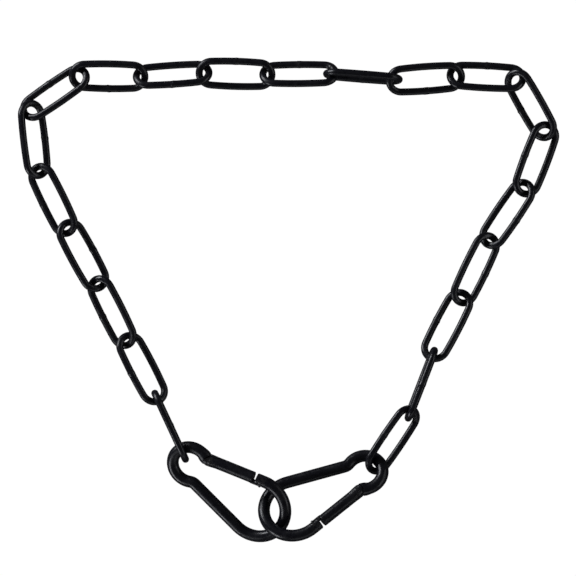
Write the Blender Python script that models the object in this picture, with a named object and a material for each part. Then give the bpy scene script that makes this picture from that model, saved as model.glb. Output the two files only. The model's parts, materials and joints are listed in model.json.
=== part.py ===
"""Long-link chain with a snap hook on each end, laid in a loop with the hooks linked through each other.

Metres, +Z up. The origin is on the floor under the middle of the whole object. +Y points from the hooks
to the far side of the loop.
"""
import math

import bmesh
import bpy
from mathutils import Matrix, Vector

MM = 0.001
GAP = 0.3 * MM  # clearance between pieces that touch each other
WELD_DISTANCE = 0.001 * MM
SHARP_ANGLE = 40  # degrees, above which an edge is a real corner

# Chain link: an oval of round wire, its sides bowed slightly outwards
LINK_WIRE = 3.0 * MM
LINK_INNER_LENGTH = 27.3 * MM
LINK_OUTER_WIDTH = 14.0 * MM
LINK_END_BEND = 5.2 * MM  # radius of the wire's centre line round an end
LINK_END_STEPS = 8
LINK_SIDE_STEPS = 2
LINK_WIRE_ROUNDNESS = 2
JOINT_PLAY = 0.3 * MM  # how far two linked ends may sit above or below each other

# Snap hook: round wire bent to a big end and an eye. Its own axes start at the middle of the big end,
# x towards the eye and y towards the gate
HOOK_WIRE = 5.0 * MM
BIG_END_BEND = 12.6 * MM
EYE_BEND = 7.75 * MM
EYE_CENTRE_X = 33.0 * MM
SPINE_SLOPE = 13.2  # degrees, between the spine and the hook's x axis
GATE_SLOPE = 12.7  # degrees, between the gate and the hook's x axis
NECK_BEND = 3.6 * MM
EYE_END_ANGLE = 116.0  # degrees round the eye, where its wire turns back towards the gate's line
TAIL_BEND = 3.3 * MM
TAIL_TURN = 26.0  # degrees
TAIL_SWELL = 1.12  # the wire is pressed wider where it meets the hinge
SWELL_ANGLE = 98.0  # degrees round the eye, where the swelling starts
BIG_END_STEPS = 14
NECK_STEPS = 3
EYE_STEPS = 14
TAIL_STEPS = 3
HOOK_WIRE_ROUNDNESS = 4

# Latch, measured along the gate's line from where it leaves the big end
NOSE_LENGTH = 3.7 * MM
LATCH_SLIT = 1.2 * MM
LATCH_BAR = 1.3 * MM
LATCH_BAR_PLACE = 1.35 * MM
LATCH_BAR_DEPTH = 1.95 * MM  # inwards from the middle of the wire
LATCH_BAR_LENGTH = 3.1 * MM
LATCH_NECK_WIDTH = 1.6 * MM
LATCH_NECK_OUTER = 0.9 * MM  # its two faces, inwards from the middle of the wire
LATCH_NECK_INNER = 2.65 * MM
LATCH_NECK_ROOT = 1.0 * MM  # how far the neck reaches into the gate
LATCH_CLAW_CLEARANCE = 0.45 * MM
LATCH_BAR_SIDES = 16

# Hinge of the gate
PIVOT = Vector((26.35 * MM, 6.82 * MM))
GATE_KNEE_X = 23.6 * MM  # here the gate's last stretch turns towards its pivot
TONGUE_THICKNESS = 1.8 * MM
TONGUE_RADIUS = 2.15 * MM
TONGUE_REACH = 2.4 * MM  # from the pivot towards the latch, on the outer side
TONGUE_SHOULDER = 2.55 * MM  # from the pivot to the outer side
TONGUE_CORNER = 0.5 * MM
TONGUE_ROOT = 4.2 * MM  # from the pivot to where the tongue is buried in the eye's wire
TONGUE_STEPS = 8
GATE_END_RADIUS = 2.6 * MM
GATE_END_SWEEP = 84.0  # degrees of rounding on each side of the gate's end
GATE_END_STEPS = 12
GATE_SHOULDER = 1.0 * MM  # from the pivot back to where that rounding has ended
FORK_DEPTH = 2.9 * MM  # from the pivot to the bottom of the fork's slot
RIVET = 1.9 * MM
RIVET_LENGTH = 5.1 * MM
RIVET_SIDES = 16
RIVET_HOLE_SIDES = 20
SADDLE_SIDES = 48

# The lie of each link, laid by hand along the loop: its middle in millimetres, then heading and roll in
# degrees. The list runs clockwise from the left hook's eye to the right hook's eye. A positive roll raises
# the side away from the inside of the loop
LINK_LIES = (
    (-49.1, -52.6, 114.9, -90),
    (-60.8, -28.6, 117.2, 29),
    (-73.3, -5.1, 116.5, -36),
    (-85.5, 18.5, 118.4, 27),
    (-97.9, 41.6, 116.1, -33),
    (-105.7, 66.8, 96.7, 37.5),
    (-97.1, 86.1, 34.5, -36),
    (-74.8, 93.1, -0.9, 21.5),
    (-48.1, 93.7, 3.8, -43.5),
    (-21.9, 94.1, -1.7, 19),
    (4.6, 94, 0.5, -43.2),
    (31.1, 92.9, -4.5, 79),
    (57.15, 92.05, 4.1, 23.6),
    (82.55, 92.85, -2.9, -32.3),
    (101, 81.2, -60.5, 34.5),
    (103.15, 58.5, -110.8, -26),
    (91.25, 35.75, -124.1, 33.6),
    (77.9, 12.75, -115.6, -32.8),
    (66.2, -10.7, -117.4, 26.8),
    (55.4, -35.1, -111.1, 86),
    (43.45, -58.3, -123.9, -41.8),
)

# The lie of each hook: middle of the big end in millimetres, then heading, pitch and roll in degrees.
# A roll near 180 turns the hook over, which puts its gate on the right of its heading
LEFT_HOOK_CENTRE = (-13.15, -86.6, 8.5)
LEFT_HOOK_TURN = (146.7, -4.2, 152.8)
RIGHT_HOOK_CENTRE = (2.4, -86.75, 10.1)
RIGHT_HOOK_TURN = (27.0, -5.5, 152.4)

COATING_COLOUR = (0.012, 0.012, 0.014, 1.0)


def clear_scene():
    """Remove whatever the scene holds."""
    for obj in list(bpy.data.objects):
        bpy.data.objects.remove(obj, do_unlink=True)


def new_collection(name):
    """Add a named collection to the scene."""
    collection = bpy.data.collections.new(name)
    bpy.context.scene.collection.children.link(collection)
    return collection


def coating(name, roughness):
    """Black coating on steel."""
    material = bpy.data.materials.new(name)
    material.use_nodes = True
    shader = material.node_tree.nodes["Principled BSDF"]
    shader.inputs["Base Color"].default_value = COATING_COLOUR
    shader.inputs["Roughness"].default_value = roughness
    shader.inputs["Metallic"].default_value = 0.0
    return material


def direction(degrees):
    """Unit vector in the XY plane."""
    angle = math.radians(degrees)
    return Vector((math.cos(angle), math.sin(angle)))


def arc(centre, radius, start, end, steps):
    """Points round a circle from one angle to another, in degrees, both ends included."""
    turn = (end - start) / steps
    return [Vector(centre) + radius * direction(start + turn * i) for i in range(steps + 1)]


def wire_curve(name, points, diameter, closed, roundness, swells=None):
    """Round wire along a flat run of points, as thick at each as its swell says."""
    curve = bpy.data.curves.new(name, "CURVE")
    curve.dimensions = "3D"
    spline = curve.splines.new("POLY")
    spline.points.add(len(points) - 1)
    for spot, point, swell in zip(spline.points, points, swells or [1.0] * len(points)):
        spot.co = (point.x, point.y, 0.0, 1.0)
        spot.radius = swell
    spline.use_cyclic_u = closed
    curve.bevel_depth = diameter / 2
    curve.bevel_resolution = roundness
    curve.use_fill_caps = not closed
    return curve


def plate_curve(name, outline, thickness):
    """Flat plate from a closed outline, lying across z = 0."""
    curve = bpy.data.curves.new(name, "CURVE")
    curve.dimensions = "2D"
    curve.fill_mode = "BOTH"
    curve.extrude = thickness / 2
    spline = curve.splines.new("POLY")
    spline.points.add(len(outline) - 1)
    for spot, point in zip(spline.points, outline):
        spot.co = (point.x, point.y, 0.0, 1.0)
    spline.use_cyclic_u = True
    return curve


def mesh_from_curve(curve, name, collection):
    """Turn a curve into a mesh object whose caps are welded on."""
    source = bpy.data.objects.new(name + "_curve", curve)
    collection.objects.link(source)
    bpy.context.view_layer.update()
    depsgraph = bpy.context.evaluated_depsgraph_get()
    mesh = bpy.data.meshes.new_from_object(source.evaluated_get(depsgraph))
    cage = bmesh.new()
    cage.from_mesh(mesh)
    bmesh.ops.remove_doubles(cage, verts=cage.verts, dist=WELD_DISTANCE)
    bmesh.ops.recalc_face_normals(cage, faces=cage.faces)
    cage.to_mesh(mesh)
    cage.free()
    mesh.name = name
    obj = bpy.data.objects.new(name, mesh)
    obj.matrix_world = source.matrix_world.copy()
    collection.objects.link(obj)
    bpy.data.objects.remove(source, do_unlink=True)
    return obj


def cutter(obj):
    """Mark an object as a tool that isn't part of the model."""
    obj.hide_render = True
    obj.display_type = "WIRE"
    return obj


def block(name, size, place, turn, collection):
    """Rectangular block, turned about z."""
    cage = bmesh.new()
    bmesh.ops.create_cube(cage, size=1.0, matrix=Matrix.Diagonal((*size, 1.0)))
    return placed_mesh(name, cage, place, turn, collection)


def cylinder(name, diameter, length, place, steps, collection):
    """Round pin with its axis along z."""
    cage = bmesh.new()
    bmesh.ops.create_cone(cage, cap_ends=True, segments=steps, radius1=diameter / 2,
                          radius2=diameter / 2, depth=length)
    return placed_mesh(name, cage, place, 0.0, collection)


def placed_mesh(name, cage, place, turn, collection):
    """Give a cage its place in the hook's plane and make it an object."""
    move = Matrix.Translation((place[0], place[1], 0.0)) @ Matrix.Rotation(math.radians(turn), 4, "Z")
    bmesh.ops.transform(cage, matrix=move, verts=cage.verts)
    mesh = bpy.data.meshes.new(name)
    cage.to_mesh(mesh)
    cage.free()
    obj = bpy.data.objects.new(name, mesh)
    collection.objects.link(obj)
    return obj


def combine(obj, tool, operation):
    """Add or cut with a Boolean modifier and keep the result in the mesh."""
    modifier = obj.modifiers.new(tool.name, "BOOLEAN")
    modifier.operation = operation
    modifier.solver = "EXACT"
    modifier.object = tool
    bpy.context.view_layer.update()
    depsgraph = bpy.context.evaluated_depsgraph_get()
    mesh = bpy.data.meshes.new_from_object(obj.evaluated_get(depsgraph))
    obj.modifiers.remove(modifier)
    obj.data = mesh
    cutter(tool)


def smooth(obj):
    """Shade round surfaces smooth and keep real corners sharp."""
    obj.data.shade_smooth()
    obj.data.set_sharp_from_angle(angle=math.radians(SHARP_ANGLE))


def link_outline():
    """Centre line of a link's wire: two end arcs joined by two long shallow arcs."""
    half_length = (LINK_INNER_LENGTH + LINK_WIRE) / 2
    half_width = (LINK_OUTER_WIDTH - LINK_WIRE) / 2
    end_x = half_length - LINK_END_BEND
    bow = half_width - LINK_END_BEND
    side_centre = (end_x ** 2 - bow ** 2) / (2 * bow)
    side_bend = side_centre + half_width
    spread = math.degrees(math.atan2(end_x, side_centre))
    points = arc((end_x, 0), LINK_END_BEND, spread - 90, 90 - spread, LINK_END_STEPS)
    points += arc((0, -side_centre), side_bend, 90 - spread, 90 + spread, LINK_SIDE_STEPS)[1:-1]
    points += arc((-end_x, 0), LINK_END_BEND, 90 + spread, 270 - spread, LINK_END_STEPS)
    points += arc((0, side_centre), side_bend, 270 - spread, 270 + spread, LINK_SIDE_STEPS)[1:-1]
    return points


def lying_height(roll):
    """Height of a link's middle when its low side lies on the floor."""
    half_width = (LINK_OUTER_WIDTH - LINK_WIRE) / 2
    return LINK_WIRE / 2 + half_width * abs(math.sin(math.radians(roll)))


def end_height(own, neighbour):
    """Height of a link's end: on the floor, unless the link it holds lifts it."""
    return max(own, neighbour - JOINT_PLAY)


def make_chain(parts, parent, material):
    """Lay every link at its own place, its ends on the floor or lifted by the links it holds."""
    curve = wire_curve("link_wire", link_outline(), LINK_WIRE, True, LINK_WIRE_ROUNDNESS)
    curve.materials.append(material)
    heights = [lying_height(lie[3]) for lie in LINK_LIES]
    neighbours = [heights[0]] + heights + [heights[-1]]
    for i, (x, y, heading, roll) in enumerate(LINK_LIES):
        near_end = end_height(heights[i], neighbours[i])
        far_end = end_height(heights[i], neighbours[i + 2])
        pitch = math.asin((far_end - near_end) / LINK_INNER_LENGTH)
        link = bpy.data.objects.new(f"link_{i + 1:02d}", curve)
        link.location = (x * MM, y * MM, (near_end + far_end) / 2)
        link.rotation_euler = (math.radians(roll), -pitch, math.radians(heading))
        link.parent = parent
        parts.objects.link(link)


def gate_line(distance, outwards=0.0):
    """Point on the line of the nose and the gate, measured from where it leaves the big end."""
    start = BIG_END_BEND * direction(90 - GATE_SLOPE)
    return start + distance * direction(-GATE_SLOPE) + outwards * direction(90 - GATE_SLOPE)


def neck_turn():
    """How far the spine turns outwards, in degrees, before it meets the eye, and where the turn starts."""
    spine_start = BIG_END_BEND * direction(SPINE_SLOPE - 90)
    to_eye = Vector((EYE_CENTRE_X, 0)) - spine_start
    along = to_eye.dot(direction(SPINE_SLOPE))
    beside = to_eye.dot(direction(SPINE_SLOPE + 90))
    reach = math.sqrt((EYE_BEND + NECK_BEND) ** 2 - (beside + NECK_BEND) ** 2)
    turn = math.degrees(math.atan2(reach, beside + NECK_BEND))
    return turn, spine_start + (along - reach) * direction(SPINE_SLOPE)


def hook_wire_points():
    """Centre line of the hook's wire, from the nose to the hinge, and how much it swells at each point."""
    turn, neck_start = neck_turn()
    neck_centre = neck_start - NECK_BEND * direction(SPINE_SLOPE + 90)
    eye_start = SPINE_SLOPE - 90 - turn + 360
    points = [gate_line(NOSE_LENGTH)]
    points += arc((0, 0), BIG_END_BEND, 90 - GATE_SLOPE, 270 + SPINE_SLOPE, BIG_END_STEPS)
    points += arc(neck_centre, NECK_BEND, SPINE_SLOPE + 90, SPINE_SLOPE + 90 - turn, NECK_STEPS)
    points += arc((EYE_CENTRE_X, 0), EYE_BEND, eye_start, EYE_END_ANGLE + 360, EYE_STEPS)[1:]
    swells = [1.0] * len(points)
    step = (EYE_END_ANGLE + 360 - eye_start) / EYE_STEPS
    for i in range(EYE_STEPS):
        angle = EYE_END_ANGLE - step * i
        grown = max(0.0, (angle - SWELL_ANGLE) / (EYE_END_ANGLE - SWELL_ANGLE))
        swells[-1 - i] = 1 + (TAIL_SWELL - 1) * grown
    tail_centre = Vector((EYE_CENTRE_X, 0)) + (EYE_BEND + TAIL_BEND) * direction(EYE_END_ANGLE)
    tail_start = EYE_END_ANGLE + 180
    points += arc(tail_centre, TAIL_BEND, tail_start, tail_start - TAIL_TURN, TAIL_STEPS)[1:]
    return points, swells + [TAIL_SWELL] * TAIL_STEPS


def beside_pivot(along, outwards):
    """Point near the pivot, measured along the gate's line away from the latch and outwards."""
    return PIVOT + along * direction(-GATE_SLOPE) + outwards * direction(90 - GATE_SLOPE)


def tongue_outline():
    """Flat tongue from the eye's wire into the fork: round on the inner side and square on the outer side."""
    outline = arc(PIVOT, TONGUE_RADIUS, -GATE_SLOPE - 75, -GATE_SLOPE - 180, TONGUE_STEPS)
    outline.append(beside_pivot(-TONGUE_REACH, TONGUE_CORNER))
    outline.append(beside_pivot(-TONGUE_REACH, TONGUE_SHOULDER - TONGUE_CORNER))
    outline.append(beside_pivot(-TONGUE_REACH + TONGUE_CORNER, TONGUE_SHOULDER))
    outline.append(beside_pivot(TONGUE_RADIUS, TONGUE_SHOULDER))
    outline.append(beside_pivot(TONGUE_ROOT, TONGUE_SHOULDER))
    outline.append(beside_pivot(TONGUE_ROOT, TONGUE_CORNER))
    return outline


def make_hook_body(name, parts, tools):
    """Bent wire with the latch notch in its nose and the hinge tongue beyond its eye."""
    points, swells = hook_wire_points()
    wire = wire_curve(name, points, HOOK_WIRE, False, HOOK_WIRE_ROUNDNESS, swells)
    body = mesh_from_curve(wire, name, parts)
    saddle = cylinder(name + "_saddle", 2 * (GATE_END_RADIUS + GAP), 2 * HOOK_WIRE, PIVOT, SADDLE_SIDES, tools)
    combine(body, saddle, "DIFFERENCE")
    tongue = mesh_from_curve(plate_curve(name + "_tongue", tongue_outline(), TONGUE_THICKNESS),
                             name + "_tongue", tools)
    combine(body, tongue, "UNION")
    hole = cylinder(name + "_hole", RIVET + 2 * GAP, HOOK_WIRE, PIVOT, RIVET_HOLE_SIDES, tools)
    combine(body, hole, "DIFFERENCE")

    notch_back = LATCH_BAR_PLACE - LATCH_BAR / 2 - GAP
    notch_front = LATCH_BAR_PLACE + LATCH_BAR / 2 + LATCH_CLAW_CLEARANCE
    cut_middle = GAP - LATCH_NECK_OUTER - HOOK_WIRE / 2
    notch = block(name + "_notch", (notch_front - notch_back, HOOK_WIRE, 2 * HOOK_WIRE),
                  gate_line((notch_back + notch_front) / 2, cut_middle), -GATE_SLOPE, tools)
    combine(body, notch, "DIFFERENCE")
    slot_length = 2 * (NOSE_LENGTH - LATCH_BAR_PLACE)
    slot = block(name + "_slot", (slot_length, HOOK_WIRE, LATCH_NECK_WIDTH + 2 * GAP),
                 gate_line(NOSE_LENGTH, cut_middle), -GATE_SLOPE, tools)
    combine(body, slot, "DIFFERENCE")
    smooth(body)
    return body


def gate_silhouette(start, last, heading):
    """Outline that rounds the gate's end about the pivot and stays clear of the rest of the bar."""
    beside = HOOK_WIRE * direction(heading + 90)
    behind = start - last * HOOK_WIRE
    shoulder = PIVOT - last * GATE_SHOULDER
    tip = arc(PIVOT, GATE_END_RADIUS, heading - GATE_END_SWEEP, heading + GATE_END_SWEEP, GATE_END_STEPS)
    return tip + [shoulder + beside, behind + beside, behind - beside, shoulder - beside]


def make_gate(name, parts, tools):
    """Round bar with the latch bar on one end and the hinge fork on the other."""
    start = gate_line(NOSE_LENGTH + LATCH_SLIT)
    knee = gate_line((GATE_KNEE_X - gate_line(0).x) / direction(-GATE_SLOPE).x)
    last = (PIVOT - knee).normalized()
    heading = math.degrees(math.atan2(last.y, last.x))
    swell = 2 * GATE_END_RADIUS / HOOK_WIRE
    bar = wire_curve(name, [start, knee, PIVOT, PIVOT + last * HOOK_WIRE], HOOK_WIRE, False,
                     HOOK_WIRE_ROUNDNESS, [1.0, 1.0, swell, swell])
    gate = mesh_from_curve(bar, name, parts)
    outline = gate_silhouette(start, last, heading)
    silhouette = mesh_from_curve(plate_curve(name + "_silhouette", outline, 2 * HOOK_WIRE),
                                 name + "_silhouette", tools)
    combine(gate, silhouette, "INTERSECT")

    slot_centre = PIVOT + last * (HOOK_WIRE - FORK_DEPTH) / 2
    slot = block(name + "_slot", (FORK_DEPTH + HOOK_WIRE, 2 * HOOK_WIRE, TONGUE_THICKNESS + 2 * GAP),
                 slot_centre, heading, tools)
    combine(gate, slot, "DIFFERENCE")
    hole = cylinder(name + "_hole", RIVET + 2 * GAP, 2 * HOOK_WIRE, PIVOT, RIVET_HOLE_SIDES, tools)
    combine(gate, hole, "DIFFERENCE")

    neck_length = NOSE_LENGTH + LATCH_SLIT + LATCH_NECK_ROOT - LATCH_BAR_PLACE
    neck_depth = LATCH_NECK_INNER - LATCH_NECK_OUTER
    neck = block(name + "_neck", (neck_length, neck_depth, LATCH_NECK_WIDTH),
                 gate_line(LATCH_BAR_PLACE + neck_length / 2, -LATCH_NECK_OUTER - neck_depth / 2),
                 -GATE_SLOPE, tools)
    combine(gate, neck, "UNION")
    latch_bar = cylinder(name + "_latch_bar", LATCH_BAR, LATCH_BAR_LENGTH,
                         gate_line(LATCH_BAR_PLACE, -LATCH_BAR_DEPTH), LATCH_BAR_SIDES, tools)
    combine(gate, latch_bar, "UNION")
    smooth(gate)
    return gate


def move_origin(obj, place):
    """Put an object's own origin at a place in the hook's plane."""
    obj.data.transform(Matrix.Translation((-place[0], -place[1], 0.0)))
    obj.location = (place[0], place[1], 0.0)


def make_hook(side, centre, turn, parts, tools, parent, material):
    """One snap hook: body, gate and rivet, laid at its place."""
    heading, pitch, roll = (math.radians(angle) for angle in turn)
    stand = bpy.data.objects.new(side + "_hook_place", None)
    stand.location = Vector(centre) * MM
    stand.rotation_euler = (roll, -pitch, heading)
    stand.parent = parent
    parts.objects.link(stand)
    body = make_hook_body(side + "_hook_body", parts, tools)
    gate = make_gate(side + "_hook_gate", parts, tools)
    move_origin(gate, PIVOT)
    rivet = cylinder(side + "_hook_rivet", RIVET, RIVET_LENGTH, PIVOT, RIVET_SIDES, parts)
    smooth(rivet)
    for obj in (body, gate, rivet):
        obj.data.materials.append(material)
        obj.parent = stand


def stand_on_origin(parts, parent):
    """Move everything so that the origin is on the floor under the middle of the object."""
    bpy.context.view_layer.update()
    depsgraph = bpy.context.evaluated_depsgraph_get()
    spots = []
    for obj in parts.objects:
        if obj.type == "EMPTY":
            continue
        shape = obj.evaluated_get(depsgraph)
        mesh = shape.to_mesh()
        spots += [shape.matrix_world @ vertex.co for vertex in mesh.vertices]
        shape.to_mesh_clear()
    low = Vector(min(spot[axis] for spot in spots) for axis in range(3))
    high = Vector(max(spot[axis] for spot in spots) for axis in range(3))
    parent.location = (-(low.x + high.x) / 2, -(low.y + high.y) / 2, -low.z)


def main():
    clear_scene()
    parts = new_collection("chain_with_snap_hooks")
    tools = new_collection("cutters")
    whole = bpy.data.objects.new("whole", None)
    parts.objects.link(whole)
    make_chain(parts, whole, coating("chain_coating", 0.35))
    hook_coating = coating("hook_coating", 0.42)
    make_hook("left", LEFT_HOOK_CENTRE, LEFT_HOOK_TURN, parts, tools, whole, hook_coating)
    make_hook("right", RIGHT_HOOK_CENTRE, RIGHT_HOOK_TURN, parts, tools, whole, hook_coating)
    stand_on_origin(parts, whole)


main()
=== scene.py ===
"""Black chain with a snap hook on each end: its fine pieces, coatings, studio light and camera.

Metres, +Z up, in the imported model's own frame. Sizes repeat the driving dimensions of the solid model, and
each piece lies where its solid lies.
"""

import json
import math

import bmesh
import bpy
import numpy as np
from mathutils import Matrix, Vector


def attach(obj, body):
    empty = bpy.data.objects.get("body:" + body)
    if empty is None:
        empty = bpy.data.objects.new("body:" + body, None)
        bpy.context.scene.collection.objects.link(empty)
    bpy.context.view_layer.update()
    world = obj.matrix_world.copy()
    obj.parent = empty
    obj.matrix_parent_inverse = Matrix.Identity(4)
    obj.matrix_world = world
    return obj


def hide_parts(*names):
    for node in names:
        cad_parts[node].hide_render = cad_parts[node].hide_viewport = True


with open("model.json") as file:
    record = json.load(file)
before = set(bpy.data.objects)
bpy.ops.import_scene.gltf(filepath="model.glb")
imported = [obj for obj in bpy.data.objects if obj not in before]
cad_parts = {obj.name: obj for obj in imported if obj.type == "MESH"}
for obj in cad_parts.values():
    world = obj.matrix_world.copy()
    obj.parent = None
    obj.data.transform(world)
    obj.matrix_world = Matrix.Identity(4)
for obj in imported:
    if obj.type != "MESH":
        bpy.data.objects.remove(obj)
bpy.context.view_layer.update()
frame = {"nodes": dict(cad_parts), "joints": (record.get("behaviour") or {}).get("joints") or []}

MM = 0.001
DEGREE = math.pi / 180

# Chain link, measured on the middle line of its wire
LINK_WIRE = 3.0 * MM
LINK_HALF_LENGTH = 15.15 * MM
LINK_HALF_WIDTH = 5.5 * MM
LINK_END_BEND = 5.2 * MM
LINK_WIRE_SIDES = 28
LINK_STEP = 0.45 * MM
LOOP_INSIDE = Vector((0.0, 0.03, 0.0))  # a point well inside the loop of the chain

# Butt weld in the middle of one long side of each link
WELD_RISE = 0.08 * MM
WELD_SPREAD = 0.75 * MM
WELD_REACH = 2.4 * MM
WELD_STEP = 0.14 * MM
WELD_LUMPS = 9
WELD_LUMP_RISE = (0.03 * MM, 0.12 * MM)
WELD_LUMP_SIZE = (0.22 * MM, 0.5 * MM)
WELD_LUMP_SCATTER = 1.2 * WELD_SPREAD
WELD_OFFSET = 0.05 * MM  # how far the wire's two ends miss each other

# The long side that carries the weld, link by link from the left hook: 1 is the side away from the loop's
# inside and -1 the side next to it
WELD_SIDES = (-1, 1, 1, -1, 1, -1, 1, -1, -1, 1, 1, -1, -1, 1, -1, -1, 1, 1, -1, 1, -1)

# Snap hook. Its own axes start at the middle of the big end, x towards the eye and y towards the gate. Its
# tail is the last bend beyond the eye, pressed wider towards the hinge. Slopes, turns and angles in degrees
HOOK_WIRE = 5.0 * MM
BIG_END_BEND = 12.6 * MM
EYE_BEND = 7.75 * MM
EYE_CENTRE = Vector((33.0 * MM, 0.0))
SPINE_SLOPE = 13.2
GATE_SLOPE = 12.7
NECK_BEND = 3.6 * MM
EYE_END_ANGLE = 116.0
TAIL_BEND = 3.3 * MM
TAIL_TURN = 26.0
TAIL_SWELL = 1.12
SWELL_ANGLE = 98.0
HOOK_WIRE_SIDES = 40
HOOK_STEP = 0.6 * MM
END_ROUNDING = 0.35 * MM
END_ROUNDING_STEPS = 4

# Latch, measured along the gate's line from where it leaves the big end
NOSE_LENGTH = 3.7 * MM
LATCH_SLIT = 1.2 * MM
LATCH_BAR = 1.3 * MM
LATCH_BAR_PLACE = 1.35 * MM
LATCH_BAR_DEPTH = 1.95 * MM
LATCH_BAR_LENGTH = 3.1 * MM
LATCH_NECK_WIDTH = 1.6 * MM
LATCH_NECK_OUTER = 0.9 * MM
LATCH_NECK_INNER = 2.65 * MM
LATCH_NECK_ROOT = 1.0 * MM
LATCH_GAP = 0.22 * MM
LATCH_CLAW_CLEARANCE = 0.4 * MM
LATCH_ROUNDING = 0.2 * MM

# Hinge of the gate
PIVOT = Vector((26.35 * MM, 6.82 * MM))
GATE_KNEE_X = 23.6 * MM
GATE_KNEE_BEND = 9.0 * MM
TONGUE_THICKNESS = 1.8 * MM
TONGUE_RADIUS = 2.15 * MM
TONGUE_REACH = 2.4 * MM
TONGUE_SHOULDER = 2.55 * MM
TONGUE_CORNER = 0.5 * MM
TONGUE_ROOT = 4.2 * MM
SADDLE_RADIUS = 2.85 * MM
SADDLE_SIDES = 96
PIN_SIDES = 32
FORK_SLOT = 2.2 * MM
FORK_DEPTH = 2.9 * MM
GATE_END_RADIUS = 2.6 * MM
GATE_END_SWEEP = 84.0
GATE_SHOULDER = 1.0 * MM
RIVET = 1.9 * MM
RIVET_HOLE = 2.1 * MM
RIVET_HEAD = 2.5 * MM
RIVET_HEAD_RISE = 0.16 * MM
RIVET_HEAD_SINK = 0.25 * MM
RIVET_HEAD_SKIRT = 0.45 * MM
RIVET_SHOULDER = 0.5 * MM
RIVET_DOME = (0.12, 0.5, 0.85, 1.15, 1.4)  # angles from the top of the head, in radians
DRILL_ROUNDING = 0.1 * MM

# Cut edges, softened as a coating does. Angles in degrees: edges sharper than the first are softened, and
# those sharper than the second are shaded as corners
EDGE_BEVEL = 0.12 * MM
EDGE_ANGLE = 50
SHADING_ANGLE = 35
MERGE_DISTANCE = 0.002 * MM

# Heading, pitch and roll of each hook in degrees, as the solids lie
HOOK_TURNS = {"left": (146.7, -4.2, 152.8), "right": (27.0, -5.5, 152.4)}

# Where the coating is rubbed: the inside of a link's ends, its weld, and the hooks' latch and hinge. An END
# counts in reaches: the rubbing stops there and is full one reach closer
LINK_RUB_START = 11.0 * MM
LINK_RUB_FULL = 13.2 * MM
LINK_RUB_OUTWARDS = 0.2 * MM
LINK_RUB_FADE = 1.2 * MM
WELD_RUB = 0.7
WELD_RUB_REACH = 1.4 * MM
WELD_RUB_END = 1.6
HOOK_RUB_REACH = 3.4 * MM
HOOK_RUB_END = 1.4

# Camera straight above the loop, and what it frames
VIEW_WIDTH = 0.24
VIEW_CENTRE = (-0.00024, 0.005)
CAMERA_HEIGHT = 6.0
SENSOR = 36.0

# Black coating: its colours, and the noise scales and heights of what shapes its surface
DARK_BLACK = (0.0028, 0.0030, 0.0062)
PALE_BLACK = (0.0105, 0.0108, 0.0165)
RUBBED_GREY = (0.035, 0.034, 0.034)
RUBBING_POLISH = 0.08
SMUDGE_SCALE, SMUDGE_HEIGHT = 170.0, 0.8
PATCH_SCALE, PATCH_HEIGHT = 620.0, 3.0
NICK_SCALE, NICK_HEIGHT = 900.0, -1.2
RUN_SCALE, RUN_HEIGHT = 1150.0, 24.0

# Which part of each noise's range turns into tone, smudges, rubbed bare spots and nicks
TONE_RANGE = (0.3, 0.7)
SMUDGE_RANGE = (0.35, 0.65)
BARE_RANGE = (0.42, 0.62)
NICK_RANGE = (0.66, 0.74)

# Each coating: scale and depth of its grain, then the roughness of its smoothest and its dullest patches
CHAIN_COATING = (1300.0, 0.015 * MM, 0.21, 0.37)
HOOK_COATING = (1200.0, 0.013 * MM, 0.24, 0.38)

# White paper and dim room: what lights the object, where the camera sees plain white
PAPER_REACH = 8.0
PAPER_DROP = 0.2 * MM
PAPER_COLOUR = (0.05, 0.05, 0.05, 1.0)
PAPER_GLOW = 0.03
ROOM_GLOW = 0.05
WHITE = (1.0, 1.0, 1.0, 1.0)

# Softboxes beside the table: azimuth in degrees, height, width and depth in metres, power in watts
SOFTBOX_DISTANCE = 0.9
SOFTBOX_AIM = Vector((0, 0, 0.01))
SOFTBOX_COLOUR = (0.93, 0.95, 1.0)
SOFTBOXES = {
    "left_softbox": (143, 0.2, 0.62, 0.32, 5.6),
    "lower_left_softbox": (221, 0.2, 0.4, 0.32, 2.0),
    "right_softbox": (2, 0.5, 1.3, 0.35, 1.7),
    "near_softbox": (285, 0.3, 0.9, 0.3, 0.6),
}


def direction(degrees):
    """Unit vector in the XY plane."""
    return Vector((math.cos(degrees * DEGREE), math.sin(degrees * DEGREE)))


class Arc:
    """Bent stretch of wire, from one angle to another in degrees."""

    def __init__(self, centre, radius, start, end):
        self.centre, self.radius, self.start, self.sweep = Vector(centre), radius, start, end - start
        self.length = radius * abs(self.sweep) * DEGREE

    def at(self, distance):
        """Point and heading, in degrees, at a distance along the stretch."""
        angle = self.start + self.sweep * distance / self.length
        return self.centre + self.radius * direction(angle), angle + math.copysign(90, self.sweep)


class Run:
    """Straight stretch of wire."""

    def __init__(self, start, end):
        self.start, self.way = Vector(start), Vector(end) - Vector(start)
        self.length = self.way.length

    def at(self, distance):
        """Point and heading, in degrees, at a distance along the stretch."""
        heading = math.degrees(math.atan2(self.way.y, self.way.x))
        return self.start + self.way * (distance / self.length), heading


def walk(path, distance):
    """Point and heading at a distance along a path of stretches."""
    for stretch in path[:-1]:
        if distance <= stretch.length:
            return stretch.at(distance)
        distance -= stretch.length
    return path[-1].at(distance)


def path_length(path):
    """Length of a path of stretches."""
    return sum(stretch.length for stretch in path)


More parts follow.
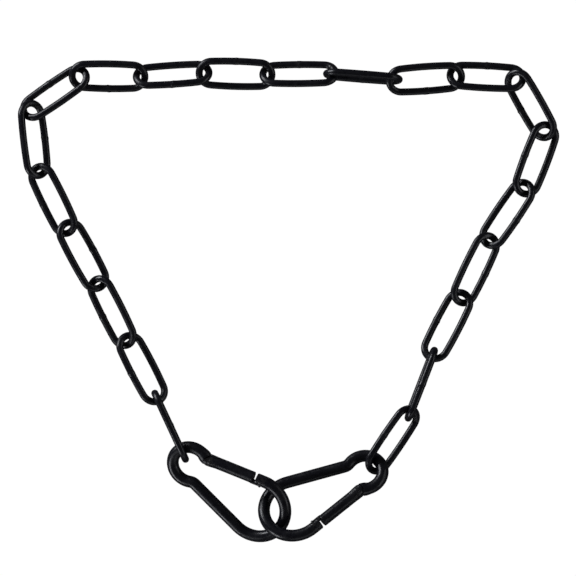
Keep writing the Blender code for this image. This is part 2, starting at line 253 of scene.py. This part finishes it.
def link_path():
    """Middle line of a link's wire: it starts halfway along the side at +y and runs anticlockwise."""
    end_x = LINK_HALF_LENGTH - LINK_END_BEND
    bow = LINK_HALF_WIDTH - LINK_END_BEND
    drop = (end_x ** 2 - bow ** 2) / (2 * bow)
    side_bend = drop + LINK_HALF_WIDTH
    spread = math.degrees(math.atan2(end_x, drop))
    return [
        Arc((0, -drop), side_bend, 90, 90 + spread),
        Arc((-end_x, 0), LINK_END_BEND, 90 + spread, 270 - spread),
        Arc((0, drop), side_bend, 270 - spread, 270 + spread),
        Arc((end_x, 0), LINK_END_BEND, 270 + spread, 450 - spread),
        Arc((0, -drop), side_bend, 90 - spread, 90),
    ]


def gate_line(distance, outwards=0.0):
    """Point on the line of the nose and the gate, measured from where it leaves the big end."""
    start = BIG_END_BEND * direction(90 - GATE_SLOPE)
    return start + distance * direction(-GATE_SLOPE) + outwards * direction(90 - GATE_SLOPE)


def hook_path():
    """Middle line of the hook's wire, from the nose round the big end, along the spine and round the eye."""
    spine_start = BIG_END_BEND * direction(SPINE_SLOPE - 90)
    to_eye = EYE_CENTRE - spine_start
    along = to_eye.dot(direction(SPINE_SLOPE))
    beside = to_eye.dot(direction(SPINE_SLOPE + 90))
    reach = math.sqrt((EYE_BEND + NECK_BEND) ** 2 - (beside + NECK_BEND) ** 2)
    turn = math.degrees(math.atan2(reach, beside + NECK_BEND))
    neck_start = spine_start + (along - reach) * direction(SPINE_SLOPE)
    neck_centre = neck_start - NECK_BEND * direction(SPINE_SLOPE + 90)
    return [
        Run(gate_line(NOSE_LENGTH), gate_line(0)),
        Arc((0, 0), BIG_END_BEND, 90 - GATE_SLOPE, 270 + SPINE_SLOPE),
        Run(spine_start, neck_start),
        Arc(neck_centre, NECK_BEND, SPINE_SLOPE + 90, SPINE_SLOPE + 90 - turn),
        Arc(EYE_CENTRE, EYE_BEND, SPINE_SLOPE + 270 - turn, 360 + EYE_END_ANGLE),
        Arc(EYE_CENTRE + (EYE_BEND + TAIL_BEND) * direction(EYE_END_ANGLE), TAIL_BEND,
            EYE_END_ANGLE + 180, EYE_END_ANGLE + 180 - TAIL_TURN),
    ]


def hook_swell(distance):
    """How much thicker the hook's wire is at a distance along it: it is pressed wider towards the hinge."""
    full = path_length(HOOK_PATH) - HOOK_PATH[-1].length
    start = full - (EYE_END_ANGLE - SWELL_ANGLE) * DEGREE * EYE_BEND
    return 1 + (TAIL_SWELL - 1) * smooth_step((distance - start) / (full - start))


def gate_swell(distance):
    """How much thicker the gate is at a distance along it: its last stretch grows towards the fork's end."""
    path, last, _heading = gate_path()
    full = path_length(path) - HOOK_WIRE
    start = path[0].length
    return 1 + (2 * GATE_END_RADIUS / HOOK_WIRE - 1) * smooth_step((distance - start) / (full - start))


def smooth_step(part):
    """Soft rise from 0 to 1 as the part goes from 0 to 1."""
    part = min(1.0, max(0.0, part))
    return part * part * (3 - 2 * part)


def gate_path():
    """Middle line of the gate's bar, from the latch to well past the pivot, with a soft knee."""
    start = gate_line(NOSE_LENGTH + LATCH_SLIT)
    knee = gate_line((GATE_KNEE_X - gate_line(0).x) / direction(-GATE_SLOPE).x)
    last = (PIVOT - knee).normalized()
    heading = math.degrees(math.atan2(last.y, last.x))
    turn = heading + GATE_SLOPE
    side = math.copysign(1, turn)
    trim = GATE_KNEE_BEND * math.tan(abs(turn) / 2 * DEGREE)
    bend_start = knee - trim * direction(-GATE_SLOPE)
    centre = bend_start + side * GATE_KNEE_BEND * direction(90 - GATE_SLOPE)
    return [
        Run(start, bend_start),
        Arc(centre, GATE_KNEE_BEND, -GATE_SLOPE - side * 90, heading - side * 90),
        Run(knee + trim * last, PIVOT + last * HOOK_WIRE),
    ], last, heading


def even_stations(path, step):
    """Distances along a path, evenly spread in each stretch."""
    stations, passed = [0.0], 0.0
    for stretch in path:
        count = max(2, round(stretch.length / step))
        stations += [passed + stretch.length * (i + 1) / count for i in range(count)]
        passed += stretch.length
    return stations


def ring(cage, path, distance, sides, radius_at):
    """One ring of vertices round the wire. Angle 0 is on the right of the wire's heading, 90 is up."""
    point, heading = walk(path, distance)
    right = direction(heading - 90)
    spots = []
    for i in range(sides):
        angle = 2 * math.pi * i / sides
        radius = radius_at(distance, angle)
        beside = right * (radius * math.cos(angle))
        spots.append(cage.verts.new((point.x + beside.x, point.y + beside.y, radius * math.sin(angle))))
    return spots


def skin(cage, rings, closed):
    """Faces between neighbouring rings."""
    sides = len(rings[0])
    for near, far in zip(rings, rings[1:] + rings[:1] if closed else rings[1:]):
        for i in range(sides):
            j = (i + 1) % sides
            cage.faces.new((near[i], near[j], far[j], far[i]))


def mesh_object(name, cage):
    """Object from a cage, with its faces pointing out."""
    bmesh.ops.recalc_face_normals(cage, faces=cage.faces)
    mesh = bpy.data.meshes.new(name)
    cage.to_mesh(mesh)
    cage.free()
    obj = bpy.data.objects.new(name, mesh)
    bpy.context.scene.collection.objects.link(obj)
    return obj


def wire_piece(name, path, diameter, sides, step, swell):
    """Open length of round wire with softly rounded ends, as thick along it as its swell says."""
    total = path_length(path)
    inner = [d for d in even_stations(path, step) if END_ROUNDING < d < total - END_ROUNDING]
    lift = [END_ROUNDING * (1 - math.cos(i * math.pi / 2 / END_ROUNDING_STEPS))
            for i in range(END_ROUNDING_STEPS + 1)]
    stations = lift + inner + [total - d for d in reversed(lift)]

    def radius_at(distance, _angle):
        from_end = min(distance, total - distance)
        missing = max(0.0, 1 - from_end / END_ROUNDING)
        return swell(distance) * diameter / 2 - END_ROUNDING * (1 - math.sqrt(1 - missing ** 2))

    cage = bmesh.new()
    rings = [ring(cage, path, distance, sides, radius_at) for distance in stations]
    skin(cage, rings, False)
    cage.faces.new(rings[0])
    cage.faces.new(rings[-1])
    return mesh_object(name, cage)


def weld_shape(rng):
    """Radius of a link's wire round its weld: a low swelling with small lumps of flash on it."""
    total = path_length(LINK_PATH)
    lumps = [(rng.uniform(-WELD_LUMP_SCATTER, WELD_LUMP_SCATTER), rng.uniform(0, 2 * math.pi),
              rng.uniform(*WELD_LUMP_RISE), rng.uniform(*WELD_LUMP_SIZE)) for _ in range(WELD_LUMPS)]
    miss = rng.uniform(0, 2 * math.pi)

    def radius_at(distance, angle):
        along = distance if distance < total / 2 else distance - total
        radius = LINK_WIRE / 2
        if abs(along) > WELD_REACH:
            return radius
        fade = math.cos(along / WELD_REACH * math.pi / 2)
        radius += WELD_RISE * math.exp(-(along / WELD_SPREAD) ** 2)
        radius += WELD_OFFSET / 2 * math.tanh(4 * along / WELD_SPREAD) * math.cos(angle - miss) * fade
        for place, turn, rise, size in lumps:
            round_it = (angle - turn + math.pi) % (2 * math.pi) - math.pi
            away = (along - place) ** 2 + (round_it * LINK_WIRE / 2) ** 2
            radius += rise * math.exp(-away / size ** 2)
        return radius

    return radius_at


def link_stations():
    """Distances round a link, close together at the weld, which is at distance 0."""
    total = path_length(LINK_PATH)
    near = [i * WELD_STEP for i in range(round(WELD_REACH / WELD_STEP))]
    rest = [d for d in even_stations(LINK_PATH, LINK_STEP) if WELD_REACH < d < total - WELD_REACH]
    return near + rest + [total - d for d in reversed(near[1:])]


def lie_of_link(node):
    """Matrix of a link as its solid lies: x along it, y across it and away from the loop's inside."""
    spots = np.unique(np.round([vertex.co for vertex in node.data.vertices], 6), axis=0)
    middle = Vector(spots.mean(0))
    axes = np.linalg.eigh(np.cov((spots - spots.mean(0)).T))[1]
    along, across = Vector(axes[:, 2]), Vector(axes[:, 1])
    if across.dot(middle - LOOP_INSIDE) < 0:
        across = -across
    out = along.cross(across)
    lie = Matrix((along, across, out)).transposed().to_4x4()
    lie.translation = middle
    return lie


def lay(obj, lie):
    """Move a mesh to its place, while its object stays at the origin, and keep it above the floor."""
    obj.data.transform(lie)
    for vertex in obj.data.vertices:
        vertex.co.z = max(vertex.co.z, 0.0)


def paint_rub(obj, rub_at):
    """Store on each vertex how much its coating is rubbed, from 0 to 1."""
    rub = obj.data.attributes.new("rub", "FLOAT", "POINT")
    for vertex, item in zip(obj.data.vertices, rub.data):
        item.value = rub_at(vertex.co)


def link_rub(spot):
    """Rubbing of a link: full on the inside of its ends, some at the weld halfway along the side at +y."""
    end = smooth_step((abs(spot.x) - LINK_RUB_START) / (LINK_RUB_FULL - LINK_RUB_START))
    middle = Vector((math.copysign(LINK_HALF_LENGTH - LINK_END_BEND, spot.x), 0.0, 0.0))
    inside = smooth_step((LINK_END_BEND + LINK_RUB_OUTWARDS - (spot - middle).length) / LINK_RUB_FADE)
    weld = Vector((0.0, LINK_HALF_WIDTH, 0.0))
    away = (spot - weld).length / WELD_RUB_REACH
    return max(end * inside, WELD_RUB * smooth_step(WELD_RUB_END - away))


def hook_rub(spot):
    """Rubbing of a hook: round its pivot and at its latch."""
    latch = gate_line(LATCH_BAR_PLACE)
    near = min((spot - Vector((*place, 0.0))).length for place in (PIVOT, latch))
    return smooth_step(HOOK_RUB_END - near / HOOK_RUB_REACH)


def smooth(obj):
    """Shade round surfaces smooth and keep real corners sharp."""
    obj.data.shade_smooth()
    obj.data.set_sharp_from_angle(angle=SHADING_ANGLE * DEGREE)


def make_links(material):
    """Fine links in place of the chain's solids."""
    stations = link_stations()
    for number, side in enumerate(WELD_SIDES, 1):
        node = f"link_{number:02d}"
        rng = np.random.default_rng(number)
        cage = bmesh.new()
        radius_at = weld_shape(rng)
        rings = [ring(cage, LINK_PATH, distance, LINK_WIRE_SIDES, radius_at) for distance in stations]
        skin(cage, rings, True)
        link = mesh_object(f"chain_{node}", cage)
        paint_rub(link, link_rub)
        lay(link, lie_of_link(frame["nodes"][node]) @ Matrix.Rotation(0 if side > 0 else math.pi, 4, "Z"))
        smooth(link)
        link.data.materials.append(material)
        finish_piece(link, "chain", node)


def finish_piece(obj, body, node):
    """Hand a piece over to its body and the solid that it stands for."""
    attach(obj, body)
    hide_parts(node)


def plate(name, outline, thickness):
    """Flat plate from an outline in the hook's plane."""
    cage = bmesh.new()
    bottom = [cage.verts.new((spot.x, spot.y, -thickness / 2)) for spot in outline]
    face = cage.faces.new(bottom)
    lifted = bmesh.ops.extrude_face_region(cage, geom=[face])["geom"]
    tops = [item for item in lifted if isinstance(item, bmesh.types.BMVert)]
    bmesh.ops.translate(cage, verts=tops, vec=(0, 0, thickness))
    return mesh_object(name, cage)


def block(name, size, place, turn, rounding=0.0):
    """Rectangular block turned about z, with rounded edges if asked."""
    cage = bmesh.new()
    bmesh.ops.create_cube(cage, size=1.0, matrix=Matrix.Diagonal((*size, 1.0)))
    if rounding:
        bmesh.ops.bevel(cage, geom=cage.edges[:], offset=rounding, segments=3, profile=0.5, affect="EDGES")
    bmesh.ops.transform(cage, matrix=place_matrix(place, turn), verts=cage.verts)
    return mesh_object(name, cage)


def place_matrix(place, turn):
    """Matrix that turns about z, in degrees, and moves to a place in the hook's plane."""
    return Matrix.Translation((place[0], place[1], 0.0)) @ Matrix.Rotation(turn * DEGREE, 4, "Z")


def turned(name, profile, sides, place):
    """Round body from a profile of radius and height, closed at both ends, with its axis along z."""
    cage = bmesh.new()
    rings = []
    for radius, height in profile:
        rings.append([cage.verts.new((radius * math.cos(2 * math.pi * i / sides),
                                      radius * math.sin(2 * math.pi * i / sides), height))
                      for i in range(sides)])
    skin(cage, rings, False)
    cage.faces.new(rings[0])
    cage.faces.new(rings[-1])
    bmesh.ops.transform(cage, matrix=place_matrix(place, 0), verts=cage.verts)
    return mesh_object(name, cage)


def pin(name, diameter, length, place, rounding, sides=PIN_SIDES):
    """Round pin with rounded ends."""
    steps = [i * math.pi / 6 for i in range(4)]
    low = [(diameter / 2 - rounding * (1 - math.sin(a)), -length / 2 + rounding * (1 - math.cos(a)))
           for a in steps]
    profile = low + [(radius, -height) for radius, height in reversed(low)]
    return turned(name, profile, sides, place)


def combine(obj, tool, operation):
    """Add or cut with a Boolean modifier and keep the result in the mesh."""
    modifier = obj.modifiers.new("shape", "BOOLEAN")
    modifier.operation = operation
    modifier.solver = "EXACT"
    modifier.object = tool
    bpy.context.view_layer.update()
    mesh = bpy.data.meshes.new_from_object(obj.evaluated_get(bpy.context.evaluated_depsgraph_get()))
    obj.modifiers.clear()
    obj.data = mesh
    bpy.data.objects.remove(tool, do_unlink=True)


def soften_edges(obj):
    """Round the cut edges a little, as a coating does."""
    cage = bmesh.new()
    cage.from_mesh(obj.data)
    bmesh.ops.remove_doubles(cage, verts=cage.verts, dist=MERGE_DISTANCE)
    edges = [edge for edge in cage.edges
             if len(edge.link_faces) == 2 and edge.calc_face_angle() > EDGE_ANGLE * DEGREE]
    bmesh.ops.bevel(cage, geom=edges, offset=EDGE_BEVEL, segments=2, profile=0.5, affect="EDGES",
                    clamp_overlap=True)
    cage.to_mesh(obj.data)
    cage.free()


def beside_pivot(along, outwards):
    """Point near the pivot, measured along the gate's line away from the latch and outwards."""
    return PIVOT + along * direction(-GATE_SLOPE) + outwards * direction(90 - GATE_SLOPE)


def tongue_outline():
    """Flat tongue from the eye's wire into the fork: round on its inner side, square on its outer side."""
    rounding = Arc(PIVOT, TONGUE_RADIUS, -GATE_SLOPE - 75, -GATE_SLOPE - 180)
    outline = [rounding.at(rounding.length * i / 16)[0] for i in range(17)]
    corner = Arc(beside_pivot(TONGUE_CORNER - TONGUE_REACH, TONGUE_SHOULDER - TONGUE_CORNER), TONGUE_CORNER,
                 180 - GATE_SLOPE, 90 - GATE_SLOPE)
    outline.append(beside_pivot(-TONGUE_REACH, TONGUE_CORNER))
    outline += [corner.at(corner.length * i / 5)[0] for i in range(6)]
    outline.append(beside_pivot(TONGUE_RADIUS, TONGUE_SHOULDER))
    outline.append(beside_pivot(TONGUE_ROOT, TONGUE_SHOULDER))
    outline.append(beside_pivot(TONGUE_ROOT, TONGUE_CORNER))
    return outline


def make_hook_body(name):
    """Bent wire with the latch notch in its nose and the hinge tongue beyond its eye."""
    body = wire_piece(name, HOOK_PATH, HOOK_WIRE, HOOK_WIRE_SIDES, HOOK_STEP, hook_swell)
    combine(body, pin("saddle", 2 * SADDLE_RADIUS, 2 * HOOK_WIRE, PIVOT, DRILL_ROUNDING, SADDLE_SIDES),
            "DIFFERENCE")
    combine(body, plate("tongue", tongue_outline(), TONGUE_THICKNESS), "UNION")
    back = LATCH_BAR_PLACE - LATCH_BAR / 2 - LATCH_GAP
    front = LATCH_BAR_PLACE + LATCH_BAR / 2 + LATCH_CLAW_CLEARANCE
    middle = LATCH_GAP - LATCH_NECK_OUTER - HOOK_WIRE / 2
    combine(body, block("notch", (front - back, HOOK_WIRE, 2 * HOOK_WIRE),
                        gate_line((back + front) / 2, middle), -GATE_SLOPE), "DIFFERENCE")
    slot = (2 * (NOSE_LENGTH - LATCH_BAR_PLACE), HOOK_WIRE, LATCH_NECK_WIDTH + 2 * LATCH_GAP)
    combine(body, block("slot", slot, gate_line(NOSE_LENGTH, middle), -GATE_SLOPE), "DIFFERENCE")
    return body


def gate_silhouette(start, last, heading):
    """Outline that rounds the gate's end about the pivot and stays clear of the rest of the bar."""
    beside = HOOK_WIRE * direction(heading + 90)
    behind = start - last * HOOK_WIRE
    shoulder = PIVOT - last * GATE_SHOULDER
    tip = Arc(PIVOT, GATE_END_RADIUS, heading - GATE_END_SWEEP, heading + GATE_END_SWEEP)
    outline = [tip.at(tip.length * i / 32)[0] for i in range(33)]
    return outline + [shoulder + beside, behind + beside, behind - beside, shoulder - beside]


def make_gate(name):
    """Round bar with the latch bar on one end and the hinge fork on the other."""
    path, last, heading = gate_path()
    gate = wire_piece(name, path, HOOK_WIRE, HOOK_WIRE_SIDES, HOOK_STEP, gate_swell)
    start = path[0].start
    combine(gate, plate("silhouette", gate_silhouette(start, last, heading), 2 * HOOK_WIRE), "INTERSECT")
    slot_centre = PIVOT + last * (HOOK_WIRE - FORK_DEPTH) / 2
    combine(gate, block("slot", (FORK_DEPTH + HOOK_WIRE, 2 * HOOK_WIRE, FORK_SLOT), slot_centre, heading),
            "DIFFERENCE")
    combine(gate, pin("hole", RIVET_HOLE, 2 * HOOK_WIRE, PIVOT, DRILL_ROUNDING), "DIFFERENCE")
    neck_length = NOSE_LENGTH + LATCH_SLIT + LATCH_NECK_ROOT - LATCH_BAR_PLACE
    neck_depth = LATCH_NECK_INNER - LATCH_NECK_OUTER
    combine(gate, block("neck", (neck_length, neck_depth, LATCH_NECK_WIDTH),
                        gate_line(LATCH_BAR_PLACE + neck_length / 2, -LATCH_NECK_OUTER - neck_depth / 2),
                        -GATE_SLOPE, LATCH_ROUNDING), "UNION")
    combine(gate, pin("latch_bar", LATCH_BAR, LATCH_BAR_LENGTH,
                      gate_line(LATCH_BAR_PLACE, -LATCH_BAR_DEPTH), LATCH_ROUNDING), "UNION")
    return gate


def make_rivet(name):
    """Rivet with a low peened head on each side of the fork."""
    half = HOOK_WIRE / 2
    dome = RIVET_HEAD_RISE + RIVET_HEAD_SINK
    head = [(RIVET_HEAD / 2 * math.sin(a), half - RIVET_HEAD_SINK + dome * math.cos(a)) for a in RIVET_DOME]
    shank = [(RIVET_HEAD / 2, half - RIVET_HEAD_SKIRT), (RIVET / 2, half - RIVET_SHOULDER)]
    upper = head + shank
    profile = [(radius, -height) for radius, height in upper] + [(r, h) for r, h in reversed(upper)]
    return turned(name, profile, PIN_SIDES, PIVOT)


def lie_of_hook(side):
    """Matrix of a hook as its solids lie: turned as named above, with its pivot on the gate's joint."""
    heading, pitch, roll = (angle * DEGREE for angle in HOOK_TURNS[side])
    turn = Matrix.Rotation(heading, 4, "Z") @ Matrix.Rotation(-pitch, 4, "Y") @ Matrix.Rotation(roll, 4, "X")
    joint = next(j for j in frame["joints"] if j["child"] == f"{side}_gate")
    lie = turn.copy()
    lie.translation = Vector(joint["pos_m"]) - turn @ Vector((*PIVOT, 0.0))
    return lie


def make_hook(side, material):
    """Fine body, gate and rivet in place of one hook's solids."""
    lie = lie_of_hook(side)
    pieces = (
        (make_hook_body(f"{side}_snap_hook_body"), "chain", f"{side}_hook_body"),
        (make_gate(f"{side}_snap_hook_gate"), f"{side}_gate", f"{side}_hook_gate"),
        (make_rivet(f"{side}_snap_hook_rivet"), "chain", f"{side}_hook_rivet"),
    )
    for obj, body, node in pieces:
        soften_edges(obj)
        smooth(obj)
        paint_rub(obj, hook_rub)
        lay(obj, lie)
        obj.data.materials.append(material)
        finish_piece(obj, body, node)


def socket(group, name, kind, way, value=None):
    """Named input or output of a node group."""
    made = group.interface.new_socket(name=name, in_out=way, socket_type=kind)
    if value is not None:
        made.default_value = value


def noise(nodes, links, place, scale, detail, roughness):
    """Noise texture over the piece, its scale a number or a socket."""
    texture = nodes.new("ShaderNodeTexNoise")
    texture.inputs["Detail"].default_value = detail
    texture.inputs["Roughness"].default_value = roughness
    links.new(place, texture.inputs["Vector"])
    if isinstance(scale, (int, float)):
        texture.inputs["Scale"].default_value = scale
    else:
        links.new(scale, texture.inputs["Scale"])
    return texture.outputs["Fac"]


def spread(nodes, links, value, low, high, to_low=0.0, to_high=1.0):
    """Stretch a range of a value over another, with soft ends."""
    node = nodes.new("ShaderNodeMapRange")
    node.interpolation_type = "SMOOTHSTEP"
    node.inputs["From Min"].default_value = low
    node.inputs["From Max"].default_value = high
    node.inputs["To Min"].default_value = to_low
    node.inputs["To Max"].default_value = to_high
    links.new(value, node.inputs["Value"])
    return node.outputs["Result"]


def calculate(nodes, links, operation, first, second):
    """One sum on two sockets or numbers."""
    node = nodes.new("ShaderNodeMath")
    node.operation = operation
    for place, value in zip(node.inputs, (first, second)):
        if isinstance(value, (int, float)):
            place.default_value = value
        else:
            links.new(value, place)
    return node.outputs[0]


def make_coating_relief():
    """Node group shared by both coatings: grain, smudges, nicks, and thick runs where it is rubbed."""
    group = bpy.data.node_groups.new("coating_relief", "ShaderNodeTree")
    socket(group, "Grain Scale", "NodeSocketFloat", "INPUT", CHAIN_COATING[0])
    socket(group, "Grain Depth", "NodeSocketFloat", "INPUT", CHAIN_COATING[1])
    socket(group, "Smudge Scale", "NodeSocketFloat", "INPUT", SMUDGE_SCALE)
    socket(group, "Rubbing", "NodeSocketFloat", "INPUT", 0.0)
    socket(group, "Tone", "NodeSocketFloat", "OUTPUT")
    socket(group, "Smudge", "NodeSocketFloat", "OUTPUT")
    socket(group, "Worn", "NodeSocketFloat", "OUTPUT")
    socket(group, "Normal", "NodeSocketVector", "OUTPUT")
    nodes, links = group.nodes, group.links
    given = nodes.new("NodeGroupInput").outputs
    result = nodes.new("NodeGroupOutput").inputs
    place = nodes.new("ShaderNodeTexCoord").outputs["Object"]
    grain = noise(nodes, links, place, given["Grain Scale"], 3.0, 0.6)
    smudge = noise(nodes, links, place, given["Smudge Scale"], 4.0, 0.65)
    patches = noise(nodes, links, place, PATCH_SCALE, 2.0, 0.5)
    nicks = spread(nodes, links, noise(nodes, links, place, NICK_SCALE, 1.0, 0.4), *NICK_RANGE)
    blobs = noise(nodes, links, place, RUN_SCALE, 2.0, 0.5)
    runs = calculate(nodes, links, "MULTIPLY", blobs, given["Rubbing"])
    bare = spread(nodes, links, patches, *BARE_RANGE)
    worn = calculate(nodes, links, "MULTIPLY", given["Rubbing"], bare)
    height = grain
    for layer, layer_height in ((smudge, SMUDGE_HEIGHT), (patches, PATCH_HEIGHT), (nicks, NICK_HEIGHT),
                                (runs, RUN_HEIGHT)):
        raised = calculate(nodes, links, "MULTIPLY", layer, layer_height)
        height = calculate(nodes, links, "ADD", height, raised)
    bump = nodes.new("ShaderNodeBump")
    links.new(given["Grain Depth"], bump.inputs["Distance"])
    links.new(height, bump.inputs["Height"])
    links.new(spread(nodes, links, grain, *TONE_RANGE), result["Tone"])
    links.new(spread(nodes, links, smudge, *SMUDGE_RANGE), result["Smudge"])
    links.new(worn, result["Worn"])
    links.new(bump.outputs["Normal"], result["Normal"])
    return group


def blend(nodes, links, mask, first, second):
    """Colour between two, by a mask. The first may be a socket."""
    node = nodes.new("ShaderNodeMix")
    node.data_type = "RGBA"
    links.new(mask, node.inputs["Factor"])
    for place, colour in ((node.inputs[6], first), (node.inputs[7], second)):
        if isinstance(colour, tuple):
            place.default_value = (*colour, 1.0)
        else:
            links.new(colour, place)
    return node.outputs[2]


def coating(name, relief, grain_scale, grain_depth, smooth_patch, dull_patch):
    """Black coating on steel: faint grain, uneven gloss and slightly greyer rubbed spots."""
    material = bpy.data.materials.new(name)
    material.use_nodes = True
    nodes, links = material.node_tree.nodes, material.node_tree.links
    shader = nodes["Principled BSDF"]
    surface = nodes.new("ShaderNodeGroup")
    surface.node_tree = relief
    surface.inputs["Grain Scale"].default_value = grain_scale
    surface.inputs["Grain Depth"].default_value = grain_depth
    surface.inputs["Smudge Scale"].default_value = SMUDGE_SCALE
    rub = nodes.new("ShaderNodeAttribute")
    rub.attribute_name = "rub"
    links.new(rub.outputs["Fac"], surface.inputs["Rubbing"])
    black = blend(nodes, links, surface.outputs["Tone"], DARK_BLACK, PALE_BLACK)
    links.new(blend(nodes, links, surface.outputs["Worn"], black, RUBBED_GREY), shader.inputs["Base Color"])
    gloss = spread(nodes, links, surface.outputs["Smudge"], 0.0, 1.0, smooth_patch, dull_patch)
    polished = calculate(nodes, links, "MULTIPLY", surface.outputs["Worn"], RUBBING_POLISH)
    links.new(calculate(nodes, links, "SUBTRACT", gloss, polished), shader.inputs["Roughness"])
    links.new(surface.outputs["Normal"], shader.inputs["Normal"])
    return material


def white_for_camera(nodes, links, glow, strength):
    """Full strength where the camera looks straight at a surface, and only a glow for what it lights."""
    sight = nodes.new("ShaderNodeLightPath")
    choice = nodes.new("ShaderNodeMapRange")
    choice.inputs["To Min"].default_value = glow
    choice.inputs["To Max"].default_value = 1.0
    links.new(sight.outputs["Is Camera Ray"], choice.inputs["Value"])
    links.new(choice.outputs["Result"], strength)


def make_floor():
    """Plain white floor that lights the object's underside only a little."""
    cage = bmesh.new()
    bmesh.ops.create_grid(cage, x_segments=1, y_segments=1, size=PAPER_REACH)
    floor = mesh_object("studio_floor", cage)
    floor.location.z = -PAPER_DROP
    material = bpy.data.materials.new("studio_paper")
    material.use_nodes = True
    nodes, links = material.node_tree.nodes, material.node_tree.links
    shader = nodes["Principled BSDF"]
    shader.inputs["Base Color"].default_value = PAPER_COLOUR
    shader.inputs["Roughness"].default_value = 1.0
    shader.inputs["Emission Color"].default_value = WHITE
    white_for_camera(nodes, links, PAPER_GLOW, shader.inputs["Emission Strength"])
    floor.data.materials.append(material)


def make_surroundings():
    """Pale background for the camera and dim room for reflections."""
    world = bpy.data.worlds.new("studio")
    bpy.context.scene.world = world
    world.use_nodes = True
    nodes, links = world.node_tree.nodes, world.node_tree.links
    background = nodes["Background"]
    background.inputs["Color"].default_value = WHITE
    white_for_camera(nodes, links, ROOM_GLOW, background.inputs["Strength"])


def make_lights():
    """Area lights beside the table, facing the object and not seen by the camera."""
    for name, (azimuth, height, width, depth, power) in SOFTBOXES.items():
        light = bpy.data.lights.new(name, "AREA")
        light.shape = "RECTANGLE"
        light.size, light.size_y = width, depth
        light.energy = power
        light.color = SOFTBOX_COLOUR
        obj = bpy.data.objects.new(name, light)
        obj.location = (*(SOFTBOX_DISTANCE * direction(azimuth)), height)
        obj.rotation_euler = (SOFTBOX_AIM - obj.location).to_track_quat("-Z", "Y").to_euler()
        obj.visible_camera = False
        bpy.context.scene.collection.objects.link(obj)


def make_camera():
    """Camera straight above the loop with a very long lens."""
    camera = bpy.data.cameras.new("camera_above")
    camera.sensor_width = SENSOR
    camera.lens = SENSOR * CAMERA_HEIGHT / VIEW_WIDTH
    camera.clip_start, camera.clip_end = 0.5, 3 * CAMERA_HEIGHT
    obj = bpy.data.objects.new("camera_above", camera)
    obj.location = (*VIEW_CENTRE, CAMERA_HEIGHT)
    bpy.context.scene.collection.objects.link(obj)
    bpy.context.scene.camera = obj


LINK_PATH = link_path()
HOOK_PATH = hook_path()
bpy.context.scene.view_settings.view_transform = "Standard"
make_camera()
make_floor()
make_surroundings()
make_lights()
coating_relief = make_coating_relief()
make_links(coating("black_chain_coating", coating_relief, *CHAIN_COATING))
hook_finish = coating("black_hook_coating", coating_relief, *HOOK_COATING)
make_hook("left", hook_finish)
make_hook("right", hook_finish)
